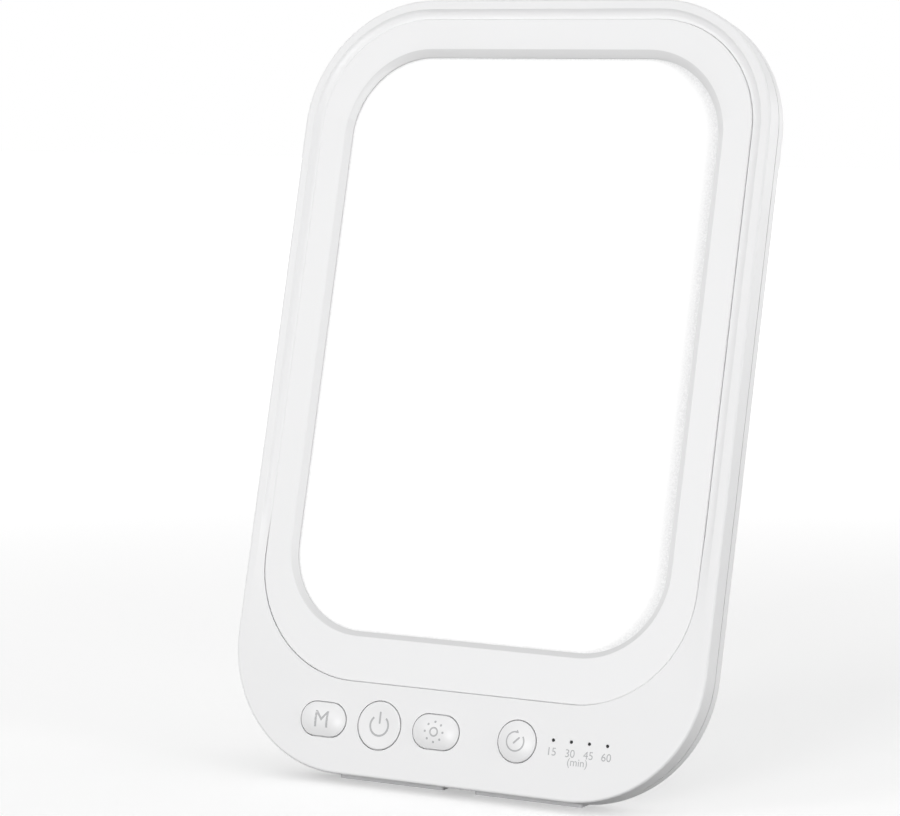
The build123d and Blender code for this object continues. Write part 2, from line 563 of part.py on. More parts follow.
def inlet_outline(grow=0.0):
    """Section of the inlet's mouth, across the left side wall."""
    plane = Plane(origin=(0, INLET_DEPTH + INLET_SIZE[1] / 2, INLET_Z), x_dir=(0, 1, 0), z_dir=(1, 0, 0))
    flat, tall = INLET_SIZE[1] + 2 * grow, INLET_SIZE[2] + 2 * grow
    return plane * (Rot(Z=90) * SlotOverall(tall, flat))


def inlet_pieces():
    mouth_x = INLET_RECESS - WIDTH / 2
    shell = Pos(mouth_x) * extrude(inlet_outline(), INLET_SIZE[0])
    shell -= Pos(mouth_x) * extrude(inlet_outline(-INLET_WALL), INLET_SIZE[0] - INLET_BACK)
    parts["power_inlet"] = shell
    tongue_end = mouth_x + INLET_SIZE[0] - INLET_BACK
    middle = INLET_DEPTH + INLET_SIZE[1] / 2
    parts["inlet_tongue"] = block((tongue_end - TONGUE_SIZE[0], tongue_end),
                                  (middle - TONGUE_SIZE[1] / 2, middle + TONGUE_SIZE[1] / 2),
                                  (INLET_Z - TONGUE_SIZE[2] / 2, INLET_Z + TONGUE_SIZE[2] / 2))
    board = block((INLET_BOARD_OUTER, INLET_BOARD_INNER), (INLET_BOARD_DEPTH, INLET_DEPTH),
                  (INLET_Z - INLET_BOARD_HALF, INLET_Z + INLET_BOARD_HALF))
    screws = []
    for z in (INLET_Z - INLET_SCREW_STEP, INLET_Z + INLET_SCREW_STEP):
        board -= rod(INLET_SCREW_X, z, SMALL_SCREW_R + SCREW_CLEARANCE, INLET_BOARD_DEPTH, INLET_DEPTH)
        screws.append(screw(INLET_SCREW_X, z, INLET_DEPTH, SMALL_SCREW_R, SMALL_SCREW_LENGTH,
                            SMALL_HEAD_R, SMALL_HEAD_HEIGHT))
    parts["inlet_board"] = board
    parts["inlet_screws"] = Compound(children=screws)


def leg_outline(grow=0.0):
    """Leg seen from behind, folded: a plate that narrows towards its tip."""
    low, wide, high = PIVOT_Z, PIVOT_Z + LEG_WIDTH / 2, LEG_TIP_Z + grow
    half, tip_half = LEG_WIDTH / 2 + grow, LEG_TIP_WIDTH / 2 + grow
    face = make_face(Polyline((-half, low), (half, low), (half, wide), (tip_half, high),
                              (-tip_half, high), (-half, wide), (-half, low)))
    return fillet(face.vertices().group_by(Axis.Y)[-1], LEG_CORNER_R)


def folded_leg(grow=0.0):
    thick = LEG_THICK / 2 + grow
    leg = slab(leg_outline(grow), PIVOT_DEPTH - thick, PIVOT_DEPTH + thick)
    half = LEG_WIDTH / 2 + grow
    return leg + Pos(0, PIVOT_DEPTH, PIVOT_Z) * (Rot(Y=90) * Cylinder(thick, 2 * half))


def swing(piece, angle):
    """Turn a piece about the leg's pin, away from its folded place."""
    return Pos(0, PIVOT_DEPTH, PIVOT_Z) * Rot(X=-angle) * Pos(0, -PIVOT_DEPTH, -PIVOT_Z) * piece


def table_block(below):
    """Everything under the table's top, in the panel's frame, from a given depth below it."""
    deep = HEIGHT
    return Rot(X=LEAN) * Pos(0, 0, -LIFT - below - deep / 2) * Box(2 * WIDTH, 4 * HEIGHT, deep)


def stand_pieces():
    open_turn = 180 - LEG_OPEN
    leg = folded_leg()
    long_edges = leg.edges().filter_by(GeomType.LINE).filter_by(Axis.Z)
    leg = fillet(long_edges, LEG_EDGE_R)
    leg -= Pos(0, PIVOT_DEPTH, PIVOT_Z) * (Rot(Y=90) * Cylinder(PIN_R + PIN_CLEARANCE, 2 * LEG_WIDTH))
    open_leg = swing(leg, open_turn) - table_block(-LEG_PAD_PROUD)
    pad_zone = block((-LEG_PAD_WIDTH / 2, LEG_PAD_WIDTH / 2),
                     (PIVOT_DEPTH - LEG_THICK, PIVOT_DEPTH + LEG_THICK),
                     (LEG_TIP_Z - LEG_PAD_LENGTH, LEG_TIP_Z + LEG_PAD_LENGTH))
    open_zone = swing(pad_zone, open_turn)
    parts["stand_leg"] = open_leg - open_zone
    long_leg = slab(leg_outline(LEG_TIP_SLANT), PIVOT_DEPTH - LEG_THICK / 2, PIVOT_DEPTH + LEG_THICK / 2)
    parts["stand_pad"] = (swing(long_leg, open_turn) & open_zone) - table_block(0)
    pin_half = POCKET_HALF + PIN_HELD
    parts["hinge_pin"] = Pos(0, PIVOT_DEPTH, PIVOT_Z) * (Rot(Y=90) * Cylinder(PIN_R, 2 * pin_half))


def pocket_outline(grow):
    """Room for the folded leg and its pad, with the finger notch at its tip."""
    pad_room = Rectangle(LEG_PAD_WIDTH + 2 * grow, 2 * (LEG_TIP_SLANT + grow))
    notch = Circle(NOTCH_R - LEG_GAP + grow)
    return leg_outline(grow) + Pos(0, LEG_TIP_Z) * pad_room + Pos(0, LEG_TIP_Z) * notch


def rear_shell():
    start = PARTING_DEPTH + PARTING_GAP
    shell = slab(housing_outline(), start, THICKNESS)
    shell = fillet(shell.edges().group_by(Axis.Y)[-1], REAR_EDGE_R)
    hollow = slab(housing_outline(WALL), start, REAR_INSIDE)
    shell -= fillet(hollow.edges().group_by(Axis.Y)[-1], REAR_EDGE_R - WALL)
    lip = slab(housing_outline(WALL - LIP_WALL), start - LIP_HEIGHT, start) - slab(
        housing_outline(WALL), start - LIP_HEIGHT, start)
    shell += lip
    for x, z in SCREW_SPOTS:
        shell += rod(x, z, WELL_R + WELL_WALL, BOSS_END_DEPTH, REAR_INSIDE)
    for x, z in POST_SPOTS:
        shell += rod(x, z, POST_R, PLATE_BACK, REAR_INSIDE)

    pocket_face = pocket_outline(LEG_GAP)
    pocket_face += Pos(0, PIVOT_Z) * Rectangle(2 * POCKET_HALF, 2 * (PIVOT_Z - POCKET_BOTTOM_Z))
    tub_bottom = POCKET_BOTTOM_Z - LEG_THICK - POCKET_WALL
    tub_half = POCKET_HALF + POCKET_WALL
    tub_face = pocket_outline(LEG_GAP + POCKET_WALL)
    tub_face += Pos(0, (tub_bottom + PIVOT_Z) / 2) * Rectangle(2 * tub_half, PIVOT_Z - tub_bottom)
    cheek_half = POCKET_HALF + HINGE_CHEEK
    cheek_z = (tub_bottom, PIVOT_Z + LEG_THICK)
    shell += slab(tub_face, POCKET_DEPTH - POCKET_FLOOR, REAR_INSIDE)
    shell += block((-cheek_half, cheek_half), (POCKET_DEPTH - POCKET_FLOOR, REAR_INSIDE), cheek_z)
    shell -= slab(pocket_face, POCKET_DEPTH, THICKNESS)
    shell -= swing(folded_leg(LEG_STOP_GAP), 180 - LEG_OPEN)
    seat = Cylinder(PIN_R + PIN_SEAT_CLEARANCE, 2 * (POCKET_HALF + PIN_HELD))
    shell -= Pos(0, PIVOT_DEPTH, PIVOT_Z) * (Rot(Y=90) * seat)

    for x, z in SCREW_SPOTS:
        shell -= rod(x, z, WELL_R, WELL_FLOOR_DEPTH, THICKNESS)
        shell -= rod(x, z, SCREW_R + SCREW_HOLE_CLEARANCE, BOSS_END_DEPTH, WELL_FLOOR_DEPTH)
    vent = SlotOverall(VENT_SIZE[1], VENT_SIZE[0], rotation=90)
    for middle_z, count in ((HEIGHT - VENT_TOP_DROP, VENT_TOP_COUNT), (VENT_LOW_Z, VENT_LOW_COUNT)):
        for i in range(count):
            shell -= slab(Pos((i - (count - 1) / 2) * VENT_PITCH, middle_z) * vent, REAR_INSIDE, THICKNESS)
    mouth = extrude(inlet_outline(INLET_GAP), INLET_SIZE[0] + CUTTER_HEIGHT)
    return shell - Pos(-WIDTH / 2 - CUTTER_HEIGHT) * mouth


def wire_pair(points):
    """Two wires side by side along one route, whose runs follow the axes."""
    strands = []
    for side in (-0.5, 0.5):
        shift = side * WIRE_STEP
        route = [Vector(*point) + Vector(shift, shift, shift) for point in points]
        route[0] = Vector(route[0].X, route[0].Y, points[0][2])
        route[-1] = Vector(route[-1].X, route[-1].Y, points[-1][2])
        runs = [(after - before).length for before, after in zip(route, route[1:])]
        radii = [min(WIRE_BEND_R, WIRE_BEND_SHARE * min(pair)) for pair in zip(runs, runs[1:])]
        path = FilletPolyline(*route, radius=radii)
        start = Plane(origin=path @ 0, z_dir=path % 0)
        strands.append(sweep(start * Circle(WIRE_R), path=path))
    return Compound(children=strands)


def wire_pieces():
    header_top = HEADER_Z + HEADER_SIZE[1] / 2
    under_plate = (BOARD_TOP_Z + PLATE_BOTTOM_Z) / 2
    half_pair = WIRE_R + WIRE_STEP / 2
    pad_x = (FLANGE_HALF + LED_BOARD_HALF) / 2
    led_depth = FLANGE_DEPTH + LED_BOARD_DEPTH / 2
    inlet_depth = INLET_DEPTH + half_pair
    behind_plate = PLATE_BACK + half_pair + WIRE_GAP
    inlet_x = INLET_BOARD_INNER - INLET_PAD_INSET
    turn_z = GUIDE_TOP_Z - WIRE_DROP
    over_plate = PLATE_TOP_Z + half_pair + 2 * WIRE_R
    parts["inlet_wires"] = wire_pair([
        (HEADER_INLET_X, inlet_depth, header_top),
        (HEADER_INLET_X, inlet_depth, under_plate),
        (inlet_x, inlet_depth, under_plate),
        (inlet_x, inlet_depth, INLET_Z - INLET_BOARD_HALF + INLET_PAD_LENGTH)])
    parts["led_wires_bottom"] = wire_pair([
        (HEADER_BOTTOM_X, inlet_depth, header_top),
        (HEADER_BOTTOM_X, inlet_depth, under_plate),
        (pad_x, inlet_depth, under_plate),
        (pad_x, led_depth, under_plate),
        (pad_x, led_depth, PLATE_BOTTOM_Z + PLATE_THICK)])
    parts["led_wires_top"] = wire_pair([
        (HEADER_TOP_X, behind_plate, header_top),
        (HEADER_TOP_X, behind_plate, turn_z),
        (pad_x, behind_plate, turn_z),
        (pad_x, behind_plate, over_plate),
        (pad_x, led_depth, over_plate),
        (pad_x, led_depth, PLATE_TOP_Z - PLATE_THICK)])


def build():
    parts["front_shell"] = front_shell()
    parts["window_frame"] = window_frame()
    light_stack()
    parts["rear_shell"] = rear_shell()
    parts["shell_screws"] = Compound(children=[
        screw(x, z, WELL_FLOOR_DEPTH, SCREW_R, SCREW_LENGTH, HEAD_R, HEAD_HEIGHT) for x, z in SCREW_SPOTS])
    control_pieces()
    inlet_pieces()
    stand_pieces()
    wire_pieces()


def stand_up(piece):
    """Lean a piece back and set it down, over the middle of the footprint."""
    return Pos(0, -MIDDLE_Y, LIFT) * Rot(X=-LEAN) * piece


build()
parts = {name: stand_up(piece) for name, piece in parts.items()}

for side, x in (("left", -PAD_X), ("right", PAD_X)):
    pad = Pos(x, PAD_Y, (PAD_PROUD + PAD_SUNK) / 2) * Box(PAD_SIZE[0], PAD_SIZE[1], PAD_PROUD + PAD_SUNK)
    pad = fillet(pad.edges().filter_by(Axis.Z), PAD_SUNK)
    parts["rear_shell"] -= pad
    parts[f"base_pad_{side}"] = pad

os.makedirs("parts", exist_ok=True)
for name, piece in parts.items():
    export_step(piece, f"parts/{name}.step")
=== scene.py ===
import json
from math import atan2, cos, hypot, pi, radians, sin

import bpy
from mathutils import Matrix, Vector


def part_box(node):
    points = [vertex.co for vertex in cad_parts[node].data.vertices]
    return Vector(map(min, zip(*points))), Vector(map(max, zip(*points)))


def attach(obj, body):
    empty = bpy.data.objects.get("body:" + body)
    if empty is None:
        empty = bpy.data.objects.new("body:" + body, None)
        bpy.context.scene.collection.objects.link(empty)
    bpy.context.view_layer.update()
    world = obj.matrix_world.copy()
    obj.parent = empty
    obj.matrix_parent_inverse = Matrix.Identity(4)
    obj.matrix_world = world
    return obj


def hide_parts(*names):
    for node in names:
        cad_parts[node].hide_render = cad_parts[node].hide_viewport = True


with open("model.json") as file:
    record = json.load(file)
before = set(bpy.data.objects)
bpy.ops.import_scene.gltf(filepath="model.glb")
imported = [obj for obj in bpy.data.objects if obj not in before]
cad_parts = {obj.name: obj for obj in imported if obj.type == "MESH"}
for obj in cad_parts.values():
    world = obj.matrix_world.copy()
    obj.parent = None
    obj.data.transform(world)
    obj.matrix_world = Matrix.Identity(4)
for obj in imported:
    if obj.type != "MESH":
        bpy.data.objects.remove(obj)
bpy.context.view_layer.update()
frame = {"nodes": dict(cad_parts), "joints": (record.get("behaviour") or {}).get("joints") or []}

bl_info = {
    "name": "Light Therapy Lamp",
    "version": (1, 0, 0),
    "blender": (4, 5, 0),
    "location": "View3D > Sidebar > Lamp",
    "description": "Dresses a slim free-standing light therapy lamp and its studio",
    "category": "Object",
}

MM = 0.001

# ---- The panel's own upright frame: X right, Y into the panel, Z up from its bottom edge ----
JOINTS = {joint["name"]: joint for joint in frame["joints"]}
PRESS = Vector(JOINTS["power_press"]["axis"])
LEAN = atan2(-PRESS.z, PRESS.y)
HINGE_IN_PANEL = Vector((0, 11.3, 66.0)) * MM
PANEL_TURN = Matrix.Rotation(-LEAN, 4, "X")
PANEL_FOOT = Vector(JOINTS["stand_hinge"]["pos_m"]) - PANEL_TURN @ HINGE_IN_PANEL
PANEL = Matrix.Translation(PANEL_FOOT) @ PANEL_TURN

# ---- Control row, in the panel's frame ----
ROW_HEIGHT = 15.05 * MM
LIGHT_FIRST_X = 31.45 * MM
LIGHT_PITCH = 5.55 * MM
TIMES = ("15", "30", "45", "60")
TIMES_HEIGHT = 13.45 * MM
UNIT_PLACE = (39.5 * MM, 10.85 * MM)
IN_FRONT = 5.0 * MM              # marks for the caps are laid back onto them from here
BUTTONS = ("mode", "power", "brightness", "timer")

# ---- Window, in the panel's frame ----
WINDOW_HALF = 59.13 * MM
WINDOW_BOTTOM = 41.3 * MM
WINDOW_TOP = 210.93 * MM
WINDOW_RADIUS = 24.0 * MM
BEVEL_REACH = 3.0 * MM                   # reach of the painted bevel shade from the window's edge, more than the bevel's width
BEVEL_DEPTHS = (0.31 * MM, 0.45 * MM)    # depths from the frame's face down into the bevel over which the painted shade sets in
SIDE_PAINTED_SHADE = 0.2                         # share of the painted bevel shade at the two sides; the full painted shade is above and below
BORDER_SPAN = (0.55, 0.95)               # where the speckled border grows, as shares of the half width
BORDER_LEFT = 0.2                        # share of the border's width that is left elsewhere
SPECKLE_CONTRAST = (2.4, -0.2)           # factor and offset on the speckle's noise

# ---- Surfaces ----
SATIN = 0.36                             # roughness of the white plastics
CAP_GRAIN = 0.4                          # share of the grain's depth that the caps have
SMOOTH_ANGLE = radians(30)
MERGE = 0.001 * MM                       # corners of neighbouring faces that are one point

# ---- Studio ----
FLOOR_DROP = 0.02 * MM                   # keeps the floor's face clear of the lamp's lowest faces
SKY_TURN = (0.6, 0.8)                    # height on the sky over which its light from overhead sets in
FOOT_IN_VIEW = Vector((-1.007, -106.608, 921.705)) * MM      # panel's foot: right, up and ahead of the camera
SENSOR = 36.0
PANEL_MIDDLE = 0.114                     # above the panel's foot, where the lamps aim
LAMP_HEIGHT = 0.1                        # of the middle round which the lamps stand
LAMP_PLACES = (                          # azimuth from the front to the right and elevation, in degrees
    ("front", 0.0, 7.0),
    ("left", -30.0, 25.0),
    ("right", 80.0, 7.0),
    ("side", 120.0, 7.0),
    ("behind", 152.0, 7.0),
)


# ======================================================================================
# Settings
# ======================================================================================

def length(name, description, default):
    return bpy.props.FloatProperty(name=name, description=description, default=default, min=0.0,
                                   subtype="DISTANCE", unit="LENGTH")


def colour(name, description, default):
    return bpy.props.FloatVectorProperty(name=name, description=description, default=default,
                                         subtype="COLOR", size=3, min=0.0, max=1.0)


def number(name, description, default, low=0.0, high=10.0):
    return bpy.props.FloatProperty(name=name, description=description, default=default, min=low, max=high)


class LampFinish(bpy.types.PropertyGroup):
    housing: colour("Housing", "White plastic of the two shells and the leg", (0.88, 0.88, 0.884))
    window_frame: colour("Window frame", "White plastic of the inset frame", (0.9, 0.9, 0.904))
    buttons: colour("Buttons", "White plastic of the button caps", (0.88, 0.88, 0.884))
    print_ink: colour("Print", "Grey ink of the marks", (0.42, 0.42, 0.43))
    rubber: colour("Rubber", "Pale rubber of the pads", (0.7, 0.7, 0.71))
    board: colour("Board", "Solder mask of the circuit boards", (0.03, 0.16, 0.07))
    wire: colour("Wire", "Insulation of the wires", (0.45, 0.03, 0.02))
    grain_size: length("Grain size", "Size of the moulded grain", 0.35 * MM)
    grain_depth: length("Grain depth", "Depth of the moulded grain", 0.004 * MM)
    # painted shade: darkens the frame's colour down the bevel above and below the window, less at its sides
    painted_bevel_shade: number("Bevel shade", "Shade in the bevel above and below the window", 0.2, 0.0, 1.0)


class LampGlow(bpy.types.PropertyGroup):
    light: colour("Light", "Colour of the lit window", (1.0, 1.0, 1.0))
    strength: number("Strength", "Glow of the lit window, as it is seen", 0.42)
    sheet: colour("Sheet", "Opal white of the window's sheet", (0.6, 0.6, 0.6))
    # edge_light is the colour of the dimmer, speckled border round the window
    edge_light: colour("Edge", "Colour of the sheet where its lit dots thin out", (0.5, 0.5, 0.51))
    edge_width: length("Edge width", "Width of the speckled border at the window's right side", 4.0 * MM)
    # speckle is the size of the speckle in the window's border
    speckle: length("Speckle", "Size of the printed dots that show at the border", 0.42 * MM)


class LampMarks(bpy.types.PropertyGroup):
    letter: length("Letter", "Height of the mode button's letter", 4.7 * MM)
    line: length("Line", "Line width of the symbols", 0.58 * MM)
    power_ring: length("Power ring", "Outer radius of the power symbol", 3.2 * MM)
    sun_ring: length("Sun ring", "Outer radius of the brightness symbol's ring", 1.4 * MM)
    sun_reach: length("Sun dots", "Radius on which the brightness symbol's dots lie", 2.85 * MM)
    clock_ring: length("Clock ring", "Outer radius of the timer symbol", 2.9 * MM)
    digits: length("Digits", "Height of the times under the timer lights", 2.2 * MM)
    ink: length("Ink", "Thickness of the print", 0.03 * MM)


class LampStudio(bpy.types.PropertyGroup):
    floor_size: length("Floor", "Side of the square floor", 8.0)
    floor: colour("Floor colour", "Colour of the floor as it is seen", (0.9, 0.9, 0.9))
    floor_bounce: colour("Floor bounce", "Colour of the floor for the light that it throws back",
                         (0.1, 0.1, 0.1))
    floor_lift: number("Floor lift", "White added to the floor near the lamp", 0.33, 0.0, 1.0)
    white_start: length("White from", "Distance from which the floor turns white", 0.2)
    white_end: length("White to", "Distance at which the floor is white", 1.6)
    focal: number("Focal length", "Camera's focal length in millimetres", 131.27, 10.0, 400.0)
    yaw: bpy.props.FloatProperty(name="Yaw", description="Camera's turn towards the lamp's right side",
                                 default=radians(28.702), subtype="ANGLE")
    pitch: bpy.props.FloatProperty(name="Pitch", description="Camera's tilt down", default=radians(6.519),
                                   subtype="ANGLE")
    front: number("Front", "Power of the lamp in front, in watts", 12.9, 0.0, 500.0)
    left: number("Left", "Power of the lamp high at the front left, in watts", 3.4, 0.0, 500.0)
    right: number("Right", "Power of the lamp at the right, in watts", 5.85, 0.0, 500.0)
    side: number("Side", "Power of the lamp further round at the right, in watts", 5.7, 0.0, 500.0)
    behind: number("Behind", "Power of the lamp behind at the right, in watts", 2.6, 0.0, 500.0)
    sky: number("Sky", "Strength of the even light from all round", 0.7)
    overhead: number("Overhead", "Share of the sky's light that comes from overhead", 0.5, 0.0, 1.0)
    lamp_size: length("Lamp size", "Side of each square lamp", 0.55)
    lamp_distance: length("Lamp distance", "Distance of the lamps from the panel", 1.8)


# ======================================================================================
# Small helpers
# ======================================================================================

def start_fresh():
    """Leaves nothing selected, in object mode."""
    if bpy.context.object and bpy.context.object.mode != "OBJECT":
        bpy.ops.object.mode_set(mode="OBJECT")
    bpy.ops.object.select_all(action="DESELECT")


def only(piece):
    start_fresh()
    piece.select_set(True)
    bpy.context.view_layer.objects.active = piece


def named(name):
    """The object that was just added, under its own name."""
    piece = bpy.context.object
    piece.name = name
    piece.data.name = name
    return piece


def apply_all(piece):
    only(piece)
    for modifier in list(piece.modifiers):
        bpy.ops.object.modifier_apply(modifier=modifier.name)


def smooth(piece):
    """Smooth shading, with large flat faces kept flat up to their rounded edges."""
    only(piece)
    bpy.ops.object.shade_smooth_by_angle(angle=SMOOTH_ANGLE)
    weighted = piece.modifiers.new("weighted", "WEIGHTED_NORMAL")
    weighted.keep_sharp = True
    apply_all(piece)


def dress(piece, material):
    piece.data.materials.clear()
    piece.data.materials.append(material)


def finish_node(node, material):
    """Gives a CAD node's object its finish."""
    piece = frame["nodes"][node]
    piece.data.materials.clear()
    piece.data.materials.append(material)


def moulded(node, name, material, body):
    """A smooth-shaded piece of a CAD node's own shape, which stands for the node."""
    mesh = frame["nodes"][node].data.copy()
    piece = bpy.data.objects.new(name, mesh)
    mesh.name = name
    bpy.context.scene.collection.objects.link(piece)
    only(piece)
    bpy.ops.mesh.customdata_custom_splitnormals_clear()
    bpy.ops.object.mode_set(mode="EDIT")
    bpy.ops.mesh.select_all(action="SELECT")
    bpy.ops.mesh.remove_doubles(threshold=MERGE)
    bpy.ops.object.mode_set(mode="OBJECT")
    smooth(piece)
    dress(piece, material)
    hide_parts(node)
    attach(piece, body)
    return piece


# ======================================================================================
# Shader helpers
# ======================================================================================

class Tree:
    """A node tree with short calls for adding and linking nodes."""

    def __init__(self, tree):
        self.tree = tree
        self.column = 0

    def add(self, kind, **settings):
        node = self.tree.nodes.new(kind)
        node.location = (self.column * 200, 0)
        self.column += 1
        for key, value in settings.items():
            setattr(node, key, value)
        return node

    def link(self, source, target):
        self.tree.links.new(source, target)

    def feed(self, socket, value):
        """Links a socket to another, or sets its value."""
        if isinstance(value, bpy.types.NodeSocket):
            self.link(value, socket)
        else:
            socket.default_value = value

    def maths(self, operation, first, second=0.0, third=0.0, clamp=False):
        node = self.add("ShaderNodeMath", operation=operation, use_clamp=clamp)
        for socket, value in zip(node.inputs, (first, second, third)):
            self.feed(socket, value)
        return node.outputs[0]

    def vector(self, operation, first, second=(0.0, 0.0, 0.0)):
        node = self.add("ShaderNodeVectorMath", operation=operation)
        self.feed(node.inputs[0], first)
        self.feed(node.inputs[1], second)
        return node.outputs["Value"] if operation in ("LENGTH", "DOT_PRODUCT") else node.outputs["Vector"]

    def ramp(self, value, low, high):
        """0 below low, 1 above high, with a soft turn at both ends."""
        node = self.add("ShaderNodeMapRange", interpolation_type="SMOOTHSTEP")
        for name, entry in (("Value", value), ("From Min", low), ("From Max", high)):
            self.feed(node.inputs[name], entry)
        return node.outputs["Result"]

    def blend(self, factor, first, second):
        node = self.add("ShaderNodeMix", data_type="RGBA")
        self.feed(node.inputs["Factor"], factor)
        self.feed(node.inputs["A"], first)
        self.feed(node.inputs["B"], second)
        return node.outputs["Result"]

    def place(self):
        return self.add("ShaderNodeTexCoord").outputs["Object"]

    def noise(self, place, size, detail=2.0):
        node = self.add("ShaderNodeTexNoise")
        self.feed(node.inputs["Vector"], place)
        node.inputs["Detail"].default_value = detail
        if isinstance(size, bpy.types.NodeSocket):
            self.link(self.maths("DIVIDE", 1.0, size), node.inputs["Scale"])
        else:
            node.inputs["Scale"].default_value = 1.0 / size
        return node.outputs["Fac"]


def new_group(name, inputs, outputs):
    """A shader node group with named sockets, its tree and its two ends."""
    group = bpy.data.node_groups.new(name, "ShaderNodeTree")
    for socket_name, kind, default in inputs:
        socket = group.interface.new_socket(socket_name, in_out="INPUT", socket_type=kind)
        socket.default_value = default
    for socket_name, kind in outputs:
        group.interface.new_socket(socket_name, in_out="OUTPUT", socket_type=kind)
    tree = Tree(group)
    return group, tree, tree.add("NodeGroupInput").outputs, tree.add("NodeGroupOutput").inputs


def grain_group():
    """Fine moulded grain: a height for bump, and a roughness that varies a little over the surface."""
    name = "Moulded Grain"
    if name in bpy.data.node_groups:
        return bpy.data.node_groups[name]
    group, tree, given, out = new_group(
        name,
        [("Size", "NodeSocketFloat", 0.35 * MM), ("Roughness", "NodeSocketFloat", 0.45),
         ("Variation", "NodeSocketFloat", 0.06), ("Patch Size", "NodeSocketFloat", 30 * MM)],
        [("Height", "NodeSocketFloat"), ("Roughness", "NodeSocketFloat")])
    place = tree.place()
    fine = tree.noise(place, given["Size"], 3.0)
    cells = tree.add("ShaderNodeTexVoronoi", feature="SMOOTH_F1")
    tree.link(place, cells.inputs["Vector"])
    tree.link(tree.maths("DIVIDE", 0.6, given["Size"]), cells.inputs["Scale"])
    tree.link(tree.maths("MULTIPLY_ADD", cells.outputs["Distance"], 0.5, fine), out["Height"])
    patches = tree.noise(place, given["Patch Size"], 3.0)
    drift = tree.maths("SUBTRACT", patches, 0.5)
    tree.link(tree.maths("MULTIPLY_ADD", drift, given["Variation"], given["Roughness"]), out["Roughness"])
    return group


def tone_group():
    """A slow drift in tone over a surface."""
    name = "Tone Drift"
    if name in bpy.data.node_groups:
        return bpy.data.node_groups[name]
    group, tree, given, out = new_group(
        name,
        [("Color", "NodeSocketColor", (0.8, 0.8, 0.8, 1.0)), ("Amount", "NodeSocketFloat", 0.02),
         ("Size", "NodeSocketFloat", 40 * MM)],
        [("Color", "NodeSocketColor")])
    drift = tree.noise(tree.place(), given["Size"], 2.0)
    factor = tree.maths("MULTIPLY", drift, given["Amount"])
    darker = tree.blend(factor, given["Color"], (0.0, 0.0, 0.0, 1.0))
    tree.link(darker, out["Color"])
    return group


def traces_group():
    """Printed circuit: 1 on copper tracks under the mask, and 1 on bare pads."""
    name = "Circuit Traces"
    if name in bpy.data.node_groups:
        return bpy.data.node_groups[name]
    group, tree, given, out = new_group(
        name,
        [("Pitch", "NodeSocketFloat", 1.2 * MM)],
        [("Tracks", "NodeSocketFloat"), ("Pads", "NodeSocketFloat")])
    place = tree.place()
    scale = tree.maths("DIVIDE", 1.0, given["Pitch"])
    cells = tree.add("ShaderNodeTexVoronoi", feature="DISTANCE_TO_EDGE", distance="EUCLIDEAN")
    tree.link(place, cells.inputs["Vector"])
    tree.link(tree.maths("MULTIPLY", scale, 0.35), cells.inputs["Scale"])
    tree.link(tree.maths("LESS_THAN", cells.outputs["Distance"], 0.06), out["Tracks"])
    pads = tree.add("ShaderNodeTexVoronoi", feature="F1")
    tree.link(place, pads.inputs["Vector"])
    tree.link(tree.maths("MULTIPLY", scale, 0.5), pads.inputs["Scale"])
    tree.link(tree.maths("LESS_THAN", pads.outputs["Distance"], 0.16), out["Pads"])
    return group


def new_material(name):
    material = bpy.data.materials.new(name)
    material.use_nodes = True
    tree = Tree(material.node_tree)
    tree.column = -12
    surface = material.node_tree.nodes["Principled BSDF"]
    return material, tree, surface


def add_group(tree, group, **values):
    node = tree.add("ShaderNodeGroup", node_tree=group)
    for key, value in values.items():
        tree.feed(node.inputs[key.replace("_", " ").title()], value)
    return node.outputs


def add_bump(tree, surface, height, depth):
    bump = tree.add("ShaderNodeBump")
    bump.inputs["Strength"].default_value = 1.0
    bump.inputs["Distance"].default_value = depth
    tree.link(height, bump.inputs["Height"])
    tree.link(bump.outputs["Normal"], surface.inputs["Normal"])


def opaque(rgb):
    return (*rgb, 1.0)


def seen_ray(tree):
    """1 where the eye sees a surface, straight or in a mirror or through glass."""
    path = tree.add("ShaderNodeLightPath")
    mirrored = tree.maths("MAXIMUM", path.outputs["Is Glossy Ray"], path.outputs["Is Transmission Ray"])
    return tree.maths("MAXIMUM", path.outputs["Is Camera Ray"], mirrored)


def moulded_plastic(name, rgb, roughness, grain_size, grain_depth, drift=0.012):
    """White satin plastic with a fine moulded grain."""
    material, tree, surface = new_material(name)
    tone = add_group(tree, tone_group(), color=opaque(rgb), amount=drift, size=45 * MM)
    grain = add_group(tree, grain_group(), size=grain_size, roughness=roughness, variation=0.08)
    tree.link(tone["Color"], surface.inputs["Base Color"])
    tree.link(grain["Roughness"], surface.inputs["Roughness"])
    surface.inputs["IOR"].default_value = 1.46
    add_bump(tree, surface, grain["Height"], grain_depth)
    return material


def plastic_with_painted_shade(name, rgb, roughness, grain_size, grain_depth, shade):
    """White satin plastic with shade painted into its colour down the bevel round the window, darkest above
    and below it.
    """
    material = moulded_plastic(name, rgb, roughness, grain_size, grain_depth)
    tree = Tree(material.node_tree)
    surface = material.node_tree.nodes["Principled BSDF"]
    tone = surface.inputs["Base Color"].links[0].from_socket
    place, outside, inside = round_window(tree)
    parts = tree.add("ShaderNodeSeparateXYZ")
    tree.link(tree.vector("NORMALIZE", outside), parts.inputs["Vector"])
    depth = tree.add("ShaderNodeSeparateXYZ")
    tree.link(place, depth.inputs["Vector"])
    # painted shade: the colour turns darker deeper in the bevel, fully above and below the window and less at
    # its sides
    near = tree.maths("GREATER_THAN", inside, -BEVEL_REACH)
    down = tree.maths("MULTIPLY", tree.ramp(depth.outputs["Y"], *BEVEL_DEPTHS), near)
    level = tree.maths("MULTIPLY_ADD", parts.outputs["Z"], 1.0 - SIDE_PAINTED_SHADE, SIDE_PAINTED_SHADE)
    factor = tree.maths("MULTIPLY", tree.maths("MULTIPLY", down, level), shade)
    tree.link(tree.blend(factor, tone, (0.0, 0.0, 0.0, 1.0)), surface.inputs["Base Color"])
    return material


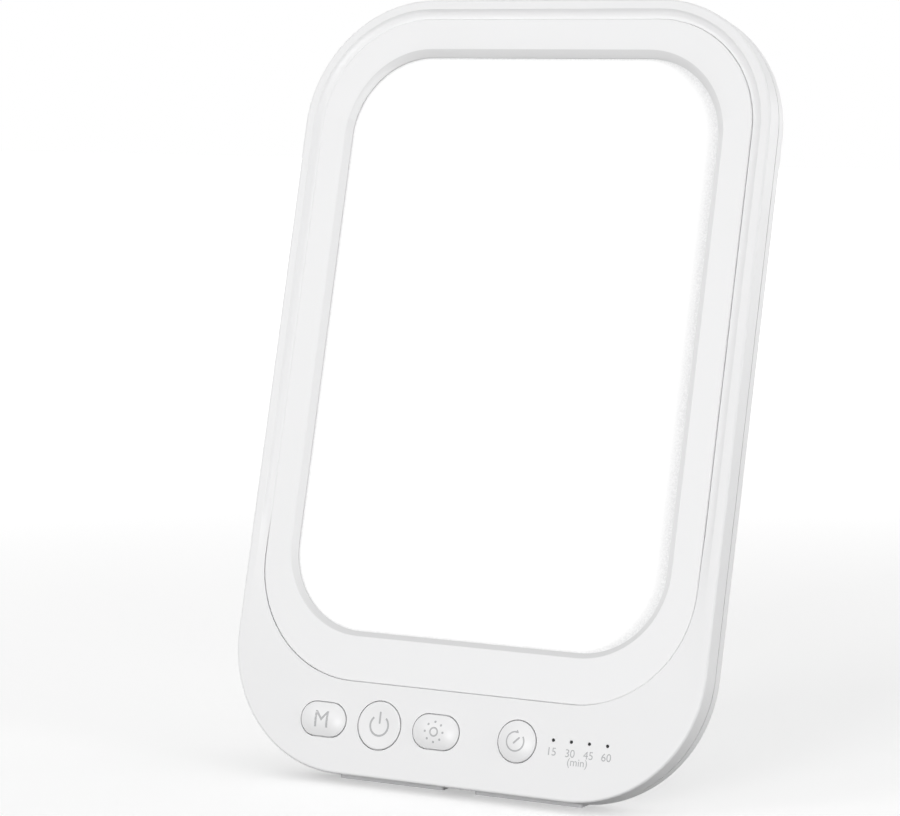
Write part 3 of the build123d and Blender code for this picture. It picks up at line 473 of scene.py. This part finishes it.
def rolled_metal(name, rgb, roughness, stretch):
    """Metal with a fine directional finish along one axis."""
    material, tree, surface = new_material(name)
    mapping = tree.add("ShaderNodeMapping")
    tree.link(tree.place(), mapping.inputs["Vector"])
    mapping.inputs["Scale"].default_value = stretch
    lines = tree.noise(mapping.outputs["Vector"], 0.2 * MM, 4.0)
    tone = add_group(tree, tone_group(), color=opaque(rgb), amount=0.1, size=6 * MM)
    tree.link(tone["Color"], surface.inputs["Base Color"])
    tree.link(tree.maths("MULTIPLY_ADD", lines, 0.2, roughness - 0.1), surface.inputs["Roughness"])
    surface.inputs["Metallic"].default_value = 1.0
    add_bump(tree, surface, lines, 0.003 * MM)
    return material


def soft_rubber(name, rgb):
    material, tree, surface = new_material(name)
    tone = add_group(tree, tone_group(), color=opaque(rgb), amount=0.08, size=5 * MM)
    grain = add_group(tree, grain_group(), size=0.25 * MM, roughness=0.82, variation=0.1)
    tree.link(tone["Color"], surface.inputs["Base Color"])
    tree.link(grain["Roughness"], surface.inputs["Roughness"])
    add_bump(tree, surface, grain["Height"], 0.01 * MM)
    return material


def printed_ink(name, rgb):
    material, tree, surface = new_material(name)
    cover = tree.noise(tree.place(), 0.12 * MM, 2.0)
    thin = [min(1.0, value * 1.25) for value in rgb]
    tree.link(tree.blend(cover, opaque(rgb), opaque(thin)), surface.inputs["Base Color"])
    tree.link(tree.maths("MULTIPLY_ADD", cover, 0.1, 0.5), surface.inputs["Roughness"])
    return material


def circuit_board(name, mask, copper, base_roughness):
    material, tree, surface = new_material(name)
    traces = add_group(tree, traces_group(), pitch=1.2 * MM)
    lighter = [min(1.0, value * 1.5 + 0.01) for value in mask]
    masked = tree.blend(traces["Tracks"], opaque(mask), opaque(lighter))
    tree.link(tree.blend(traces["Pads"], masked, opaque(copper)), surface.inputs["Base Color"])
    tree.link(traces["Pads"], surface.inputs["Metallic"])
    tree.link(tree.maths("MULTIPLY_ADD", traces["Pads"], -0.1, base_roughness), surface.inputs["Roughness"])
    add_bump(tree, surface, traces["Tracks"], 0.03 * MM)
    return material


def round_window(tree):
    """A point's place from the window's middle, upright, its way out and its distance inside the edge."""
    upright = tree.add("ShaderNodeMapping", vector_type="POINT")
    tree.link(tree.place(), upright.inputs["Vector"])
    upright.inputs["Rotation"].default_value = (LEAN, 0.0, 0.0)
    turned_foot = PANEL_TURN.inverted() @ PANEL_FOOT
    middle = (WINDOW_BOTTOM + WINDOW_TOP) / 2
    upright.inputs["Location"].default_value = (0.0, -turned_foot.y, -turned_foot.z - middle)
    place = upright.outputs["Vector"]
    flat = tree.vector("MULTIPLY", place, (1.0, 0.0, 1.0))
    core = (WINDOW_HALF - WINDOW_RADIUS, 0.0, (WINDOW_TOP - WINDOW_BOTTOM) / 2 - WINDOW_RADIUS)
    outside = tree.vector("MAXIMUM", tree.vector("SUBTRACT", tree.vector("ABSOLUTE", flat), core))
    inside = tree.maths("SUBTRACT", WINDOW_RADIUS, tree.vector("LENGTH", outside))
    return place, outside, inside


def window_glow(glow):
    """Opal sheet lit from its edges: even white, and dimmer and speckled in a border round its edge that is
    widest at the right side.
    """
    material, tree, surface = new_material("lit_opal_sheet")
    place, _, inside = round_window(tree)
    across = tree.add("ShaderNodeSeparateXYZ")
    tree.link(place, across.inputs["Vector"])
    right = tree.ramp(across.outputs["X"], *(share * WINDOW_HALF for share in BORDER_SPAN))
    narrow = glow.edge_width * BORDER_LEFT
    width = tree.maths("MULTIPLY_ADD", right, glow.edge_width - narrow, narrow)
    # the glow dims and speckles towards the edge, over a border that is widest at the right side
    fall = tree.maths("SUBTRACT", 1.0, tree.maths("DIVIDE", inside, width), clamp=True)
    speckle = tree.maths("MULTIPLY_ADD", tree.noise(place, glow.speckle, 3.0), *SPECKLE_CONTRAST)
    dim = tree.maths("MULTIPLY", fall, speckle, clamp=True)
    lit = tree.blend(dim, opaque(glow.light), opaque(glow.edge_light))
    tree.link(lit, surface.inputs["Emission Color"])
    tree.link(tree.maths("MULTIPLY", seen_ray(tree), glow.strength), surface.inputs["Emission Strength"])
    surface.inputs["Base Color"].default_value = opaque(glow.sheet)
    grain = add_group(tree, grain_group(), size=0.3 * MM, roughness=0.5, variation=0.05)
    tree.link(grain["Roughness"], surface.inputs["Roughness"])
    add_bump(tree, surface, grain["Height"], 0.003 * MM)
    return material


def lit_lens(name, rgb, light, strength):
    """Small LED: a yellowish body that glows."""
    material, tree, surface = new_material(name)
    grain = tree.noise(tree.place(), 0.4 * MM, 2.0)
    tree.link(tree.blend(grain, opaque(rgb), opaque([0.85 * value for value in rgb])),
              surface.inputs["Base Color"])
    tree.link(tree.blend(grain, opaque(light), opaque([0.9 * value for value in light])),
              surface.inputs["Emission Color"])
    surface.inputs["Emission Strength"].default_value = strength
    surface.inputs["Roughness"].default_value = 0.3
    return material


# ======================================================================================
# Flat marks, drawn upright in the panel's frame with the front at y = 0
# ======================================================================================

FACING = (pi / 2, 0.0, 0.0)      # turns a flat shape to face the front


def flat_text(words, height, name):
    """Printed words of a given height, centred on the origin."""
    start_fresh()
    bpy.ops.object.text_add(rotation=FACING)
    text = named(name)
    text.data.body = words
    text.data.align_x = "CENTER"
    text.data.align_y = "CENTER"
    bpy.context.view_layer.update()
    text.data.size = height / text.dimensions.y
    bpy.ops.object.convert(target="MESH")
    piece = bpy.context.object
    bpy.ops.object.transform_apply(location=True, rotation=True, scale=True)
    lows = [min(vertex.co[axis] for vertex in piece.data.vertices) for axis in range(3)]
    highs = [max(vertex.co[axis] for vertex in piece.data.vertices) for axis in range(3)]
    centre = Vector([(low + high) / 2 for low, high in zip(lows, highs)])
    piece.data.transform(Matrix.Translation(-centre))
    return piece


def flat_ring(radius, line, name, gap_middle=0.0, gap_half=0.0):
    """Ring of a given line width, open over a stretch of its turn."""
    start_fresh()
    bpy.ops.mesh.primitive_circle_add(vertices=96, radius=radius, fill_type="NGON", rotation=FACING)
    piece = named(name)
    bpy.ops.object.transform_apply(location=False, rotation=True, scale=False)
    bpy.ops.object.mode_set(mode="EDIT")
    bpy.ops.mesh.select_all(action="SELECT")
    bpy.ops.mesh.inset(thickness=line)
    bpy.ops.mesh.delete(type="FACE")
    bpy.ops.object.mode_set(mode="OBJECT")
    for polygon in piece.data.polygons:
        turn = atan2(polygon.center.z, polygon.center.x) - gap_middle
        polygon.select = abs((turn + pi) % (2 * pi) - pi) < gap_half
    bpy.ops.object.mode_set(mode="EDIT")
    bpy.ops.mesh.select_mode(type="FACE")
    bpy.ops.mesh.delete(type="FACE")
    bpy.ops.object.mode_set(mode="OBJECT")
    return piece


def flat_dot(radius, x, z, name):
    start_fresh()
    bpy.ops.mesh.primitive_circle_add(vertices=20, radius=radius, fill_type="NGON", rotation=FACING,
                                      location=(x, 0.0, z))
    piece = named(name)
    bpy.ops.object.transform_apply(location=True, rotation=True, scale=False)
    return piece


def flat_bar(start, end, line, name):
    """Straight bar from one point to another, (x, z) each, with rounded ends."""
    start_fresh()
    run = hypot(end[0] - start[0], end[1] - start[1])
    bpy.ops.mesh.primitive_plane_add(size=1.0)
    piece = named(name)
    piece.scale = (run + line, line, 1.0)
    bpy.ops.object.transform_apply(location=False, rotation=False, scale=True)
    bpy.ops.object.mode_set(mode="EDIT")
    bpy.ops.mesh.select_all(action="SELECT")
    bpy.ops.mesh.bevel(offset=0.45 * line, segments=6, affect="VERTICES")
    bpy.ops.object.mode_set(mode="OBJECT")
    middle = ((start[0] + end[0]) / 2, 0.0, (start[1] + end[1]) / 2)
    turn = atan2(end[1] - start[1], end[0] - start[0])
    piece.matrix_world = (Matrix.Translation(middle) @ Matrix.Rotation(-turn, 4, "Y")
                          @ Matrix.Rotation(pi / 2, 4, "X"))
    bpy.ops.object.transform_apply(location=True, rotation=True, scale=False)
    return piece


def flat_arrow(x, z, size, turn, name):
    """Solid arrow head with its tip at a point."""
    start_fresh()
    bpy.ops.mesh.primitive_circle_add(vertices=3, radius=size, fill_type="NGON")
    piece = named(name)
    piece.matrix_world = (Matrix.Translation((x, 0.0, z)) @ Matrix.Rotation(-turn, 4, "Y")
                          @ Matrix.Rotation(pi / 2, 4, "X"))
    bpy.ops.object.transform_apply(location=True, rotation=True, scale=False)
    return piece


def join(pieces, name):
    start_fresh()
    for piece in pieces:
        piece.select_set(True)
    bpy.context.view_layer.objects.active = pieces[0]
    bpy.ops.object.join()
    return named(name)


def print_on(piece, x, z, surface, marks, ink, body):
    """Lays a flat mark on a cap, or on the panel's flat face, as thick as the ink."""
    only(piece)
    bpy.ops.object.mode_set(mode="EDIT")
    bpy.ops.mesh.select_all(action="SELECT")
    bpy.ops.mesh.quads_convert_to_tris()
    bpy.ops.mesh.subdivide(number_cuts=3)
    bpy.ops.object.mode_set(mode="OBJECT")
    ahead = IN_FRONT if surface else 0.0
    piece.matrix_world = PANEL @ Matrix.Translation((x, -ahead, z))
    if surface:
        wrap = piece.modifiers.new("wrap", "SHRINKWRAP")
        wrap.wrap_method = "PROJECT"
        wrap.target = surface
        wrap.use_project_y = True
        wrap.use_positive_direction = True
    thicken = piece.modifiers.new("ink", "SOLIDIFY")
    thicken.thickness = marks.ink
    thicken.offset = 0.0
    apply_all(piece)
    bpy.ops.object.transform_apply(location=True, rotation=True, scale=True)
    dress(piece, ink)
    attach(piece, body)
    return piece


# ======================================================================================
# Pieces
# ======================================================================================

def settings():
    scene = bpy.context.scene
    return scene.lamp_finish, scene.lamp_glow, scene.lamp_marks, scene.lamp_studio


class LAMP_OT_housing(bpy.types.Operator):
    """Two white shells and the inset window frame"""
    bl_idname = "lamp.housing"
    bl_label = "Housing"

    def execute(self, context):
        finish, _, _, _ = settings()
        grain = (finish.grain_size, finish.grain_depth)
        shell = moulded_plastic("housing_plastic", finish.housing, SATIN, *grain)
        # the frame's plastic has shade painted into its colour down the window's bevel
        rim = plastic_with_painted_shade("frame_plastic", finish.window_frame, SATIN, *grain, finish.painted_bevel_shade)
        moulded("front_shell", "front_shell_moulded", shell, "housing")
        moulded("rear_shell", "rear_shell_moulded", shell, "housing")
        moulded("window_frame", "window_frame_moulded", rim, "housing")
        return {"FINISHED"}


class LAMP_OT_window(bpy.types.Operator):
    """Lit opal sheet, and the light guide, film, plate and LED strips behind it"""
    bl_idname = "lamp.window"
    bl_label = "Window"

    def execute(self, context):
        _, glow, _, _ = settings()
        finish_node("diffuser", window_glow(glow))
        clear = moulded_plastic("clear_acrylic", (0.92, 0.95, 0.96), 0.08, 0.5 * MM, 0.001 * MM)
        film = moulded_plastic("white_film", (0.93, 0.93, 0.93), 0.25, 0.5 * MM, 0.001 * MM)
        plate = rolled_metal("rolled_aluminium", (0.72, 0.73, 0.74), 0.38, (0.05, 1.0, 1.0))
        strip = circuit_board("strip_board", (0.8, 0.8, 0.78), (0.75, 0.5, 0.2), 0.45)
        chip = lit_lens("led_phosphor", (0.9, 0.85, 0.5), glow.light, 1.0)
        finish_node("light_guide", clear)
        finish_node("reflector_sheet", film)
        finish_node("heat_plate", plate)
        for end in ("top", "bottom"):
            finish_node(f"led_board_{end}", strip)
            finish_node(f"leds_{end}", chip)
        return {"FINISHED"}


class LAMP_OT_buttons(bpy.types.Operator):
    """Four button caps"""
    bl_idname = "lamp.buttons"
    bl_label = "Buttons"

    def execute(self, context):
        finish, _, _, _ = settings()
        fine = CAP_GRAIN * finish.grain_depth
        cap = moulded_plastic("button_plastic", finish.buttons, SATIN, finish.grain_size, fine)
        for name in BUTTONS:
            moulded(f"button_{name}", f"{name}_cap", cap, f"button_{name}")
        return {"FINISHED"}


class LAMP_OT_marks(bpy.types.Operator):
    """Printed symbols on the caps, and the times under the timer lights"""
    bl_idname = "lamp.marks"
    bl_label = "Marks"

    def execute(self, context):
        finish, _, marks, _ = settings()
        ink = printed_ink("grey_print", finish.print_ink)
        drawn = {
            "mode": flat_text("M", marks.letter, "mode_letter"),
            "power": self.power_symbol(marks),
            "brightness": self.sun_symbol(marks),
            "timer": self.clock_symbol(marks),
        }
        for name, piece in drawn.items():
            low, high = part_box(f"button_{name}")
            cap = bpy.data.objects[f"{name}_cap"]
            print_on(piece, (low.x + high.x) / 2, ROW_HEIGHT, cap, marks, ink, f"button_{name}")
        for place, words in enumerate(TIMES):
            piece = flat_text(words, marks.digits, f"time_{words}")
            print_on(piece, LIGHT_FIRST_X + place * LIGHT_PITCH, TIMES_HEIGHT, None, marks, ink, "housing")
        piece = flat_text("(min)", 1.27 * marks.digits, "time_unit")
        print_on(piece, *UNIT_PLACE, None, marks, ink, "housing")
        return {"FINISHED"}

    def power_symbol(self, marks):
        radius = marks.power_ring
        ring = flat_ring(radius, marks.line, "power_ring", gap_middle=pi / 2, gap_half=radians(40))
        bar = flat_bar((0.0, 0.25 * radius), (0.0, 1.15 * radius), marks.line, "power_bar")
        return join([ring, bar], "power_symbol")

    def sun_symbol(self, marks):
        pieces = [flat_ring(marks.sun_ring, 0.8 * marks.line, "sun_ring")]
        for step in range(8):
            turn = step * pi / 4
            x, z = marks.sun_reach * cos(turn), marks.sun_reach * sin(turn)
            pieces.append(flat_dot(0.6 * marks.line, x, z, "sun_dot"))
        return join(pieces, "brightness_symbol")

    def clock_symbol(self, marks):
        radius = marks.clock_ring
        line = 0.75 * marks.line
        ring = flat_ring(radius, line, "clock_ring", gap_middle=radians(60), gap_half=radians(28))
        arrow = flat_arrow(0.12 * radius, radius - line / 2, 1.1 * marks.line, 0.0, "clock_arrow")
        tail = (-0.1 * radius, -0.15 * radius)
        tip = (0.4 * radius, 0.35 * radius)
        hand = flat_bar(tail, tip, 0.9 * marks.line, "clock_hand")
        return join([ring, arrow, hand], "timer_symbol")


class LAMP_OT_stand(bpy.types.Operator):
    """Folding leg, its foot and the two pads under the panel"""
    bl_idname = "lamp.stand"
    bl_label = "Stand"

    def execute(self, context):
        finish, _, _, _ = settings()
        shell = bpy.data.materials["housing_plastic"]
        rubber = soft_rubber("grey_rubber", finish.rubber)
        moulded("stand_leg", "stand_leg_moulded", shell, "stand")
        moulded("stand_pad", "stand_pad_moulded", rubber, "stand")
        for side in ("left", "right"):
            moulded(f"base_pad_{side}", f"base_pad_{side}_moulded", rubber, "housing")
        return {"FINISHED"}


class LAMP_OT_fittings(bpy.types.Operator):
    """Inlet, screws, boards, switches, light pipes and wires"""
    bl_idname = "lamp.fittings"
    bl_label = "Fittings"

    def execute(self, context):
        finish, glow, _, _ = settings()
        steel = rolled_metal("plated_steel", (0.62, 0.62, 0.64), 0.3, (1.0, 1.0, 0.2))
        black = moulded_plastic("black_resin", (0.02, 0.02, 0.022), 0.5, 0.2 * MM, 0.004 * MM)
        smoked = moulded_plastic("smoked_lens", (0.006, 0.006, 0.007), 0.2, 0.2 * MM, 0.001 * MM)
        cream = moulded_plastic("connector_plastic", (0.75, 0.72, 0.62), 0.5, 0.3 * MM, 0.004 * MM)
        board = circuit_board("circuit_board", finish.board, (0.8, 0.6, 0.25), 0.35)
        wire = soft_rubber("wire_insulation", finish.wire)
        resin = lit_lens("clear_resin", (0.85, 0.84, 0.75), glow.light, 0.0)
        for node in ("shell_screws", "board_screws", "inlet_screws", "hinge_pin", "power_inlet"):
            finish_node(node, steel)
        for node in ("board_chips", "inlet_tongue"):
            finish_node(node, black)
        for name in BUTTONS:
            finish_node(f"switch_{name}", black)
            finish_node(f"plunger_{name}", cream)
        for node in ("control_board", "inlet_board"):
            finish_node(node, board)
        for node in ("inlet_wires", "led_wires_top", "led_wires_bottom"):
            finish_node(node, wire)
        finish_node("wire_headers", cream)
        finish_node("light_pipes", smoked)
        finish_node("timer_leds", resin)
        return {"FINISHED"}


# ======================================================================================
# Studio
# ======================================================================================

def studio_floor(studio):
    """Floor that keeps the lamp's shadow, throws little light back and turns white further off."""
    material, tree, surface = new_material("studio_floor")
    seen = seen_ray(tree)
    tone = tree.blend(seen, opaque(studio.floor_bounce), opaque(studio.floor))
    tree.link(tone, surface.inputs["Base Color"])
    surface.inputs["Roughness"].default_value = 0.9
    surface.inputs["Specular IOR Level"].default_value = 0.0
    far = tree.ramp(tree.vector("LENGTH", tree.place()), studio.white_start, studio.white_end)
    lift = tree.maths("MULTIPLY_ADD", far, 1.0 - studio.floor_lift, studio.floor_lift)
    surface.inputs["Emission Color"].default_value = (1.0, 1.0, 1.0, 1.0)
    tree.link(tree.maths("MULTIPLY", seen, lift), surface.inputs["Emission Strength"])
    return material


def studio_sky(studio):
    """Even light from all round, less from overhead, and seen as plain white."""
    world = bpy.data.worlds.new("studio_sky")
    bpy.context.scene.world = world
    world.use_nodes = True
    tree = Tree(world.node_tree)
    background = world.node_tree.nodes["Background"]
    background.inputs["Color"].default_value = (1.0, 1.0, 1.0, 1.0)
    across = tree.add("ShaderNodeSeparateXYZ")
    tree.link(tree.add("ShaderNodeTexCoord").outputs["Generated"], across.inputs["Vector"])
    high = tree.ramp(across.outputs["Z"], *SKY_TURN)
    light = tree.maths("MULTIPLY_ADD", high, (studio.overhead - 1.0) * studio.sky, studio.sky)
    tree.link(tree.maths("MAXIMUM", seen_ray(tree), light), background.inputs["Strength"])


def softbox(name, studio, azimuth, elevation, power):
    """Square soft lamp on a ring round the panel, aimed at its middle."""
    turn, rise = radians(azimuth), radians(elevation)
    ahead = Vector((sin(turn) * cos(rise), -cos(turn) * cos(rise), sin(rise)))
    place = ahead * studio.lamp_distance + Vector((0.0, 0.0, LAMP_HEIGHT))
    aim = PANEL @ Vector((0.0, 0.0, PANEL_MIDDLE)) - place
    start_fresh()
    bpy.ops.object.light_add(type="AREA", location=place, rotation=aim.to_track_quat("-Z", "Y").to_euler())
    lamp = bpy.context.object
    lamp.name = name
    lamp.data.shape = "SQUARE"
    lamp.data.size = studio.lamp_size
    lamp.data.energy = power


class LAMP_OT_studio(bpy.types.Operator):
    """Floor, soft lamps, white background and camera"""
    bl_idname = "lamp.studio"
    bl_label = "Studio"

    def execute(self, context):
        _, _, _, studio = settings()
        start_fresh()
        bpy.ops.mesh.primitive_plane_add(size=studio.floor_size, location=(0.0, 0.0, -FLOOR_DROP))
        floor = named("studio_floor")
        floor.data.materials.append(studio_floor(studio))
        studio_sky(studio)
        for name, azimuth, elevation in LAMP_PLACES:
            softbox(f"{name}_lamp", studio, azimuth, elevation, getattr(studio, name))
        self.add_camera(context, studio)
        context.scene.view_settings.view_transform = "Standard"
        return {"FINISHED"}

    def add_camera(self, context, studio):
        """Camera that sees the middle of the panel's bottom edge at a fixed place in its view."""
        yaw, pitch = studio.yaw, studio.pitch
        right = Vector((cos(yaw), sin(yaw), 0.0))
        ahead = Vector((-sin(yaw) * cos(pitch), cos(yaw) * cos(pitch), -sin(pitch)))
        up = right.cross(ahead)
        place = PANEL_FOOT - right * FOOT_IN_VIEW.x - up * FOOT_IN_VIEW.y - ahead * FOOT_IN_VIEW.z
        bpy.ops.object.camera_add(location=place)
        camera = context.object
        camera.name = "studio_camera"
        turn = Matrix((right, up, -ahead)).transposed()
        camera.rotation_euler = turn.to_euler()
        camera.data.lens = studio.focal
        camera.data.sensor_width = SENSOR
        camera.data.clip_end = 50.0
        context.scene.camera = camera


class LAMP_PT_panel(bpy.types.Panel):
    """Pieces and settings of the lamp"""
    bl_idname = "LAMP_PT_panel"
    bl_label = "Light Therapy Lamp"
    bl_space_type = "VIEW_3D"
    bl_region_type = "UI"
    bl_category = "Lamp"

    def draw(self, context):
        layout = self.layout
        for operator in STEPS:
            layout.operator(operator.bl_idname)
        for group in (context.scene.lamp_finish, context.scene.lamp_glow, context.scene.lamp_marks,
                      context.scene.lamp_studio):
            box = layout.box()
            for name in group.bl_rna.properties.keys():
                if name not in ("rna_type", "name"):
                    box.prop(group, name)


STEPS = (LAMP_OT_studio, LAMP_OT_housing, LAMP_OT_window, LAMP_OT_buttons, LAMP_OT_marks, LAMP_OT_stand,
         LAMP_OT_fittings)
GROUPS = {
    "lamp_finish": LampFinish,
    "lamp_glow": LampGlow,
    "lamp_marks": LampMarks,
    "lamp_studio": LampStudio,
}


def register():
    for group in GROUPS.values():
        bpy.utils.register_class(group)
    for step in STEPS:
        bpy.utils.register_class(step)
    bpy.utils.register_class(LAMP_PT_panel)
    for name, group in GROUPS.items():
        setattr(bpy.types.Scene, name, bpy.props.PointerProperty(type=group))


def unregister():
    for name in GROUPS:
        delattr(bpy.types.Scene, name)
    for item in (LAMP_PT_panel, *STEPS, *GROUPS.values()):
        bpy.utils.unregister_class(item)


def main():
    register()
    bpy.ops.lamp.studio()
    bpy.ops.lamp.housing()
    bpy.ops.lamp.window()
    bpy.ops.lamp.buttons()
    bpy.ops.lamp.marks()
    bpy.ops.lamp.stand()
    bpy.ops.lamp.fittings()


if __name__ == "__main__":
    main()
